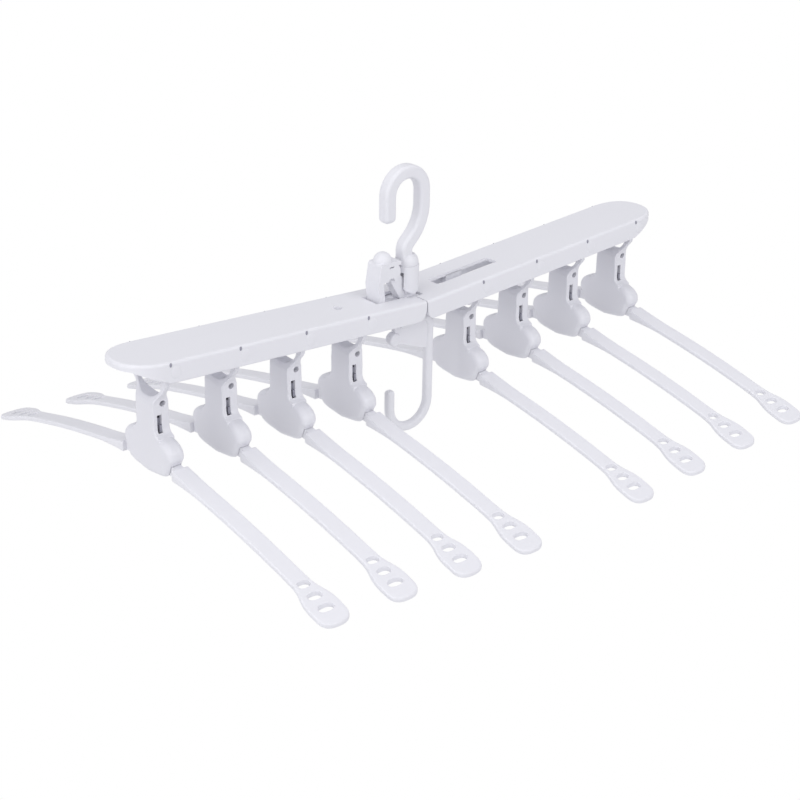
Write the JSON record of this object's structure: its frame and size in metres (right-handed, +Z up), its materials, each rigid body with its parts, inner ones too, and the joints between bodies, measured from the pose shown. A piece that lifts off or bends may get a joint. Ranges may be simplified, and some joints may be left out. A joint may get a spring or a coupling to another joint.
{
  "type": "tiered hanger",
  "caption": "White folding clothes hanger: a V-shaped beam under a swivel hook carries small hangers, each with two curved arms that end in pierced paddles.",
  "frame": {"origin": "inner top of the upper hook, where it rests on a rail", "axes": "+Z up, +X along the right wing of the beam, +Y along the far arms"},
  "size_m": [0.4258, 0.3284, 0.1773],
  "materials": {
    "beam_white": "satin",
    "shell_white": "satin",
    "arm_white": "satin",
    "pin_steel": "brushed"
  },
  "bodies": {
    "hook": {"upper_hook": "beam_white"},
    "yoke": {"hook_yoke": "beam_white", "yoke_pin": "pin_steel"},
    "hub": {"hub_body": "beam_white", "left_hinge_pin": "pin_steel", "right_hinge_pin": "pin_steel", "latch_pin": "pin_steel"},
    "left_wing": {"left_wing": "beam_white"},
    "right_wing": {"right_wing": "beam_white"},
    "latch": {"latch_lever": "beam_white"},
    "lower_hook": {"lower_hook": "beam_white"},
    "unit_1": {"left_shell_1": "shell_white", "right_shell_1": "shell_white"},
    "near_arm_1": {"near_arm_1": "arm_white"},
    "far_arm_1": {"far_arm_1": "arm_white"},
    "slider_1": {"lock_slider_1": "beam_white"},
    "unit_2": {"left_shell_2": "shell_white", "right_shell_2": "shell_white"},
    "near_arm_2": {"near_arm_2": "arm_white"},
    "far_arm_2": {"far_arm_2": "arm_white"},
    "slider_2": {"lock_slider_2": "beam_white"},
    "unit_3": {"left_shell_3": "shell_white", "right_shell_3": "shell_white"},
    "near_arm_3": {"near_arm_3": "arm_white"},
    "far_arm_3": {"far_arm_3": "arm_white"},
    "slider_3": {"lock_slider_3": "beam_white"},
    "unit_4": {"left_shell_4": "shell_white", "right_shell_4": "shell_white"},
    "near_arm_4": {"near_arm_4": "arm_white"},
    "far_arm_4": {"far_arm_4": "arm_white"},
    "slider_4": {"lock_slider_4": "beam_white"},
    "unit_5": {"left_shell_5": "shell_white", "right_shell_5": "shell_white"},
    "near_arm_5": {"near_arm_5": "arm_white"},
    "far_arm_5": {"far_arm_5": "arm_white"},
    "slider_5": {"lock_slider_5": "beam_white"},
    "unit_6": {"left_shell_6": "shell_white", "right_shell_6": "shell_white"},
    "near_arm_6": {"near_arm_6": "arm_white"},
    "far_arm_6": {"far_arm_6": "arm_white"},
    "slider_6": {"lock_slider_6": "beam_white"},
    "unit_7": {"left_shell_7": "shell_white", "right_shell_7": "shell_white"},
    "near_arm_7": {"near_arm_7": "arm_white"},
    "far_arm_7": {"far_arm_7": "arm_white"},
    "slider_7": {"lock_slider_7": "beam_white"},
    "unit_8": {"left_shell_8": "shell_white", "right_shell_8": "shell_white"},
    "near_arm_8": {"near_arm_8": "arm_white"},
    "far_arm_8": {"far_arm_8": "arm_white"},
    "slider_8": {"lock_slider_8": "beam_white"}
  },
  "joints": [
    {"name": "hook_swivel", "type": "hinge", "parent": "hook", "child": "yoke", "pos_m": [0, 0, -0.05475], "axis": [0, 0, 1], "continuous": true},
    {"name": "hook_fold", "type": "hinge", "parent": "yoke", "child": "hub", "pos_m": [0, 0, -0.06425], "axis": [0, -1, 0], "range_deg": [0, 90]},
    {"name": "wing_fold", "type": "hinge", "parent": "hub", "child": "left_wing", "pos_m": [-0.00785, 0, -0.07928], "axis": [0, -1, 0], "range_deg": [0, 60]},
    {"name": "right_wing_fold", "type": "hinge", "parent": "hub", "child": "right_wing", "pos_m": [0.00785, 0, -0.07928], "axis": [0, 1, 0], "range_deg": [0, 60]},
    {"name": "latch_press", "type": "hinge", "parent": "hub", "child": "latch", "pos_m": [-0.0155, 0, -0.05575], "axis": [0, -1, 0], "range_deg": [0, 12], "stiffness_Nm_per_rad": 0.25, "springref_deg": -5.73},
    {"name": "lower_hook_swivel", "type": "hinge", "parent": "hub", "child": "lower_hook", "pos_m": [0, 0, -0.08815], "axis": [0, 0, 1], "continuous": true},
    {"name": "unit_tilt_1", "type": "hinge", "parent": "left_wing", "child": "unit_1", "pos_m": [-0.18803, 0, -0.06846], "axis": [0, -1, 0], "range_deg": [-62, 10]},
    {"name": "near_arm_fold_1", "type": "hinge", "parent": "unit_1", "child": "near_arm_1", "pos_m": [-0.18803, -0.0176, -0.12696], "axis": [1, 0, 0], "range_deg": [0, 75]},
    {"name": "far_arm_fold_1", "type": "hinge", "parent": "unit_1", "child": "far_arm_1", "pos_m": [-0.18803, 0.0176, -0.12696], "axis": [-1, 0, 0], "range_deg": [0, 75]},
    {"name": "slider_lift_1", "type": "slide", "parent": "unit_1", "child": "slider_1", "axis": [0, 0, 1], "range_m": [0, 0.003]},
    {"name": "unit_tilt_2", "type": "hinge", "parent": "left_wing", "child": "unit_2", "pos_m": [-0.14112, 0, -0.07133], "axis": [0, -1, 0], "range_deg": [-62, 10]},
    {"name": "near_arm_fold_2", "type": "hinge", "parent": "unit_2", "child": "near_arm_2", "pos_m": [-0.14112, -0.0176, -0.12983], "axis": [1, 0, 0], "range_deg": [0, 75]},
    {"name": "far_arm_fold_2", "type": "hinge", "parent": "unit_2", "child": "far_arm_2", "pos_m": [-0.14112, 0.0176, -0.12983], "axis": [-1, 0, 0], "range_deg": [0, 75]},
    {"name": "slider_lift_2", "type": "slide", "parent": "unit_2", "child": "slider_2", "axis": [0, 0, 1], "range_m": [0, 0.003]},
    {"name": "unit_tilt_3", "type": "hinge", "parent": "left_wing", "child": "unit_3", "pos_m": [-0.0942, 0, -0.0742], "axis": [0, -1, 0], "range_deg": [-62, 10]},
    {"name": "near_arm_fold_3", "type": "hinge", "parent": "unit_3", "child": "near_arm_3", "pos_m": [-0.0942, -0.0176, -0.1327], "axis": [1, 0, 0], "range_deg": [0, 75]},
    {"name": "far_arm_fold_3", "type": "hinge", "parent": "unit_3", "child": "far_arm_3", "pos_m": [-0.0942, 0.0176, -0.1327], "axis": [-1, 0, 0], "range_deg": [0, 75]},
    {"name": "slider_lift_3", "type": "slide", "parent": "unit_3", "child": "slider_3", "axis": [0, 0, 1], "range_m": [0, 0.003]},
    {"name": "unit_tilt_4", "type": "hinge", "parent": "left_wing", "child": "unit_4", "pos_m": [-0.04729, 0, -0.07707], "axis": [0, -1, 0], "range_deg": [-62, 10]},
    {"name": "near_arm_fold_4", "type": "hinge", "parent": "unit_4", "child": "near_arm_4", "pos_m": [-0.04729, -0.0176, -0.13557], "axis": [1, 0, 0], "range_deg": [0, 75]},
    {"name": "far_arm_fold_4", "type": "hinge", "parent": "unit_4", "child": "far_arm_4", "pos_m": [-0.04729, 0.0176, -0.13557], "axis": [-1, 0, 0], "range_deg": [0, 75]},
    {"name": "slider_lift_4", "type": "slide", "parent": "unit_4", "child": "slider_4", "axis": [0, 0, 1], "range_m": [0, 0.003]},
    {"name": "unit_tilt_5", "type": "hinge", "parent": "right_wing", "child": "unit_5", "pos_m": [0.04729, 0, -0.07707], "axis": [0, 1, 0], "range_deg": [-62, 10]},
    {"name": "near_arm_fold_5", "type": "hinge", "parent": "unit_5", "child": "near_arm_5", "pos_m": [0.04729, -0.0176, -0.13557], "axis": [1, 0, 0], "range_deg": [0, 75]},
    {"name": "far_arm_fold_5", "type": "hinge", "parent": "unit_5", "child": "far_arm_5", "pos_m": [0.04729, 0.0176, -0.13557], "axis": [-1, 0, 0], "range_deg": [0, 75]},
    {"name": "slider_lift_5", "type": "slide", "parent": "unit_5", "child": "slider_5", "axis": [0, 0, 1], "range_m": [0, 0.003]},
    {"name": "unit_tilt_6", "type": "hinge", "parent": "right_wing", "child": "unit_6", "pos_m": [0.0942, 0, -0.0742], "axis": [0, 1, 0], "range_deg": [-62, 10]},
    {"name": "near_arm_fold_6", "type": "hinge", "parent": "unit_6", "child": "near_arm_6", "pos_m": [0.0942, -0.0176, -0.1327], "axis": [1, 0, 0], "range_deg": [0, 75]},
    {"name": "far_arm_fold_6", "type": "hinge", "parent": "unit_6", "child": "far_arm_6", "pos_m": [0.0942, 0.0176, -0.1327], "axis": [-1, 0, 0], "range_deg": [0, 75]},
    {"name": "slider_lift_6", "type": "slide", "parent": "unit_6", "child": "slider_6", "axis": [0, 0, 1], "range_m": [0, 0.003]},
    {"name": "unit_tilt_7", "type": "hinge", "parent": "right_wing", "child": "unit_7", "pos_m": [0.14112, 0, -0.07133], "axis": [0, 1, 0], "range_deg": [-62, 10]},
    {"name": "near_arm_fold_7", "type": "hinge", "parent": "unit_7", "child": "near_arm_7", "pos_m": [0.14112, -0.0176, -0.12983], "axis": [1, 0, 0], "range_deg": [0, 75]},
    {"name": "far_arm_fold_7", "type": "hinge", "parent": "unit_7", "child": "far_arm_7", "pos_m": [0.14112, 0.0176, -0.12983], "axis": [-1, 0, 0], "range_deg": [0, 75]},
    {"name": "slider_lift_7", "type": "slide", "parent": "unit_7", "child": "slider_7", "axis": [0, 0, 1], "range_m": [0, 0.003]},
    {"name": "unit_tilt_8", "type": "hinge", "parent": "right_wing", "child": "unit_8", "pos_m": [0.18803, 0, -0.06846], "axis": [0, 1, 0], "range_deg": [-62, 10]},
    {"name": "near_arm_fold_8", "type": "hinge", "parent": "unit_8", "child": "near_arm_8", "pos_m": [0.18803, -0.0176, -0.12696], "axis": [1, 0, 0], "range_deg": [0, 75]},
    {"name": "far_arm_fold_8", "type": "hinge", "parent": "unit_8", "child": "far_arm_8", "pos_m": [0.18803, 0.0176, -0.12696], "axis": [-1, 0, 0], "range_deg": [0, 75]},
    {"name": "slider_lift_8", "type": "slide", "parent": "unit_8", "child": "slider_8", "axis": [0, 0, 1], "range_m": [0, 0.003]}
  ],
  "couplings": [
    {"joint": "right_wing_fold", "follows": "wing_fold", "ratio": 1},
    {"joint": "unit_tilt_1", "follows": "wing_fold", "ratio": -1},
    {"joint": "far_arm_fold_1", "follows": "near_arm_fold_1", "ratio": 1},
    {"joint": "slider_lift_1", "follows": "near_arm_fold_1", "m_per_rad": 0.0022804},
    {"joint": "unit_tilt_2", "follows": "wing_fold", "ratio": -1},
    {"joint": "far_arm_fold_2", "follows": "near_arm_fold_2", "ratio": 1},
    {"joint": "slider_lift_2", "follows": "near_arm_fold_2", "m_per_rad": 0.0022804},
    {"joint": "unit_tilt_3", "follows": "wing_fold", "ratio": -1},
    {"joint": "far_arm_fold_3", "follows": "near_arm_fold_3", "ratio": 1},
    {"joint": "slider_lift_3", "follows": "near_arm_fold_3", "m_per_rad": 0.0022804},
    {"joint": "unit_tilt_4", "follows": "wing_fold", "ratio": -1},
    {"joint": "far_arm_fold_4", "follows": "near_arm_fold_4", "ratio": 1},
    {"joint": "slider_lift_4", "follows": "near_arm_fold_4", "m_per_rad": 0.0022804},
    {"joint": "unit_tilt_5", "follows": "wing_fold", "ratio": -1},
    {"joint": "far_arm_fold_5", "follows": "near_arm_fold_5", "ratio": 1},
    {"joint": "slider_lift_5", "follows": "near_arm_fold_5", "m_per_rad": 0.0022804},
    {"joint": "unit_tilt_6", "follows": "wing_fold", "ratio": -1},
    {"joint": "far_arm_fold_6", "follows": "near_arm_fold_6", "ratio": 1},
    {"joint": "slider_lift_6", "follows": "near_arm_fold_6", "m_per_rad": 0.0022804},
    {"joint": "unit_tilt_7", "follows": "wing_fold", "ratio": -1},
    {"joint": "far_arm_fold_7", "follows": "near_arm_fold_7", "ratio": 1},
    {"joint": "slider_lift_7", "follows": "near_arm_fold_7", "m_per_rad": 0.0022804},
    {"joint": "unit_tilt_8", "follows": "wing_fold", "ratio": -1},
    {"joint": "far_arm_fold_8", "follows": "near_arm_fold_8", "ratio": 1},
    {"joint": "slider_lift_8", "follows": "near_arm_fold_8", "m_per_rad": 0.0022804}
  ]
}
